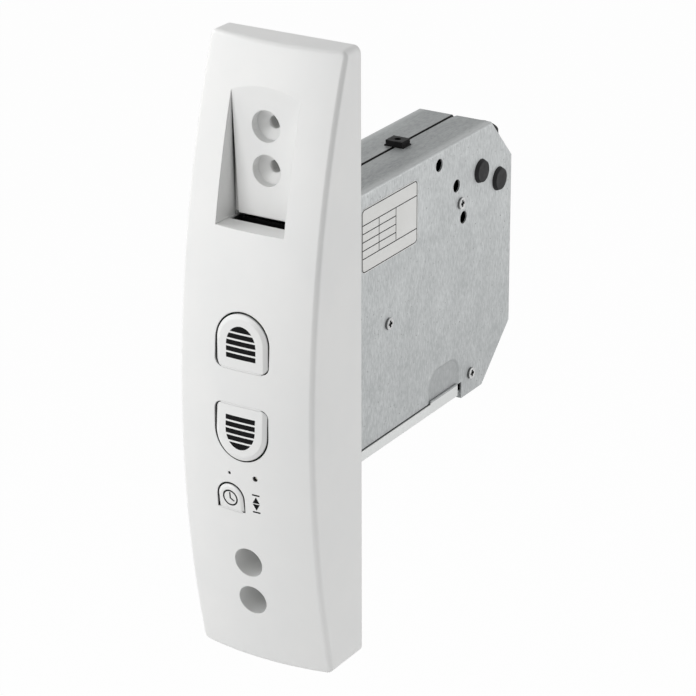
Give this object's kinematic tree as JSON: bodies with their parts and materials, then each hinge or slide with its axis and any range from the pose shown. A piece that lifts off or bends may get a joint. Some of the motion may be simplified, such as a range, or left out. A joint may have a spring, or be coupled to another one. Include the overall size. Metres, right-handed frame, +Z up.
{
  "type": "electric belt winder",
  "caption": "Wall-recessed electric roller-shutter belt winder: long bowed white cover with a belt recess and push buttons, and a flat steel housing with spool and geared motor behind it.",
  "frame": {"origin": "in the wall surface, midway between the wall screws", "axes": "+Z up, +Y into the wall, the cover's front faces -Y and +X is to the right seen from the room"},
  "size_m": [0.064, 0.1923, 0.266],
  "materials": {
    "cover_white": "satin",
    "frame_plastic": "matte",
    "black_plastic": "satin",
    "natural_plastic": "satin",
    "board_green": "satin",
    "led_green": "gloss",
    "clear_plastic": "gloss",
    "capacitor_sleeve": "gloss",
    "galvanised_sheet": "satin",
    "zinc_plated": "satin",
    "bright_steel": "polished",
    "iron_core": "matte",
    "ferrite": "matte",
    "bronze": "satin",
    "black_rubber": "matte",
    "label_film": "satin",
    "lead_insulation": "satin"
  },
  "bodies": {
    "fixed_part": {"front_cover": "cover_white", "base_frame": "frame_plastic", "slot_guide": "black_plastic", "roller_axle": "bright_steel", "control_board": "board_green", "switch_bodies": "black_plastic", "status_led": "led_green", "light_pipe": "clear_plastic", "motor_relays": "black_plastic", "controller_chip": "black_plastic", "capacitor": "capacitor_sleeve", "board_connectors": "natural_plastic", "board_screws": "zinc_plated", "right_shell": "galvanised_sheet", "left_shell": "galvanised_sheet", "frame_screws": "zinc_plated", "right_screws": "zinc_plated", "left_screws": "zinc_plated", "spool_axle": "bright_steel", "drive_axle": "bright_steel", "rear_pillar": "bright_steel", "rubber_plugs": "black_rubber", "seam_clip": "black_plastic", "rating_label": "label_film", "motor_can": "zinc_plated", "motor_end_cap": "black_plastic", "field_magnets": "ferrite", "motor_terminals": "zinc_plated", "sensor_board": "board_green", "motor_bracket": "galvanised_sheet", "worm_bearing": "bronze", "motor_screws": "zinc_plated", "motor_lead": "lead_insulation", "sensor_lead": "lead_insulation", "power_lead": "lead_insulation", "power_socket": "black_plastic"},
    "up_key": {"up_button": "cover_white"},
    "down_key": {"down_button": "cover_white"},
    "clock_key": {"clock_button": "cover_white"},
    "up_switch_plunger": {"up_plunger": "natural_plastic"},
    "down_switch_plunger": {"down_plunger": "natural_plastic"},
    "clock_switch_plunger": {"clock_plunger": "natural_plastic"},
    "set_switch_plunger": {"set_plunger": "natural_plastic"},
    "roller": {"guide_roller": "black_plastic"},
    "spool": {"belt_spool": "black_plastic", "spool_gear": "black_plastic", "spool_screws": "zinc_plated", "spool_bushes": "natural_plastic"},
    "drive_set": {"drive_gear": "black_plastic", "worm_wheel": "black_plastic"},
    "rotor": {"worm": "bright_steel", "motor_armature": "iron_core", "motor_shaft": "bright_steel", "sensor_magnet": "ferrite"}
  },
  "joints": [
    {"name": "up_button_hinge", "type": "hinge", "parent": "fixed_part", "child": "up_key", "pos_m": [0, -0.0389, 0.0043], "axis": [1, 0, 0], "range_deg": [-2.4, 0], "stiffness_Nm_per_rad": 0.1},
    {"name": "down_button_hinge", "type": "hinge", "parent": "fixed_part", "child": "down_key", "pos_m": [0, -0.0389, -0.0108], "axis": [1, 0, 0], "range_deg": [0, 2.4], "stiffness_Nm_per_rad": 0.1},
    {"name": "clock_button_hinge", "type": "hinge", "parent": "fixed_part", "child": "clock_key", "pos_m": [-0.0062, -0.038, -0.0588], "axis": [1, 0, 0], "range_deg": [-3.5, 0], "stiffness_Nm_per_rad": 0.1},
    {"name": "up_switch_travel", "type": "slide", "parent": "fixed_part", "child": "up_switch_plunger", "axis": [0, 1, 0], "range_m": [0, 0.0006]},
    {"name": "down_switch_travel", "type": "slide", "parent": "fixed_part", "child": "down_switch_plunger", "axis": [0, 1, 0], "range_m": [0, 0.0006]},
    {"name": "clock_switch_travel", "type": "slide", "parent": "fixed_part", "child": "clock_switch_plunger", "axis": [0, 1, 0], "range_m": [0, 0.0006]},
    {"name": "set_switch_travel", "type": "slide", "parent": "fixed_part", "child": "set_switch_plunger", "axis": [0, 1, 0], "range_m": [0, 0.0006], "stiffness_N_per_m": 200},
    {"name": "guide_roller_spin", "type": "hinge", "parent": "fixed_part", "child": "roller", "pos_m": [0, -0.0095, 0.052], "axis": [1, 0, 0], "continuous": true},
    {"name": "spool_spin", "type": "hinge", "parent": "fixed_part", "child": "spool", "pos_m": [0, 0.0438, -0.0005], "axis": [1, 0, 0], "continuous": true},
    {"name": "drive_gear_spin", "type": "hinge", "parent": "fixed_part", "child": "drive_set", "pos_m": [0, 0.10421, 0.03438], "axis": [1, 0, 0], "continuous": true},
    {"name": "motor_rotor_spin", "type": "hinge", "parent": "fixed_part", "child": "rotor", "pos_m": [0, 0.12721, 0.03438], "axis": [0, 0, 1], "continuous": true}
  ],
  "couplings": [
    {"joint": "up_switch_travel", "follows": "up_button_hinge", "m_per_rad": -0.0119},
    {"joint": "down_switch_travel", "follows": "down_button_hinge", "m_per_rad": 0.0119},
    {"joint": "clock_switch_travel", "follows": "clock_button_hinge", "m_per_rad": -0.00818},
    {"joint": "drive_gear_spin", "follows": "spool_spin", "ratio": -1.8182},
    {"joint": "motor_rotor_spin", "follows": "spool_spin", "ratio": 65.455}
  ]
}
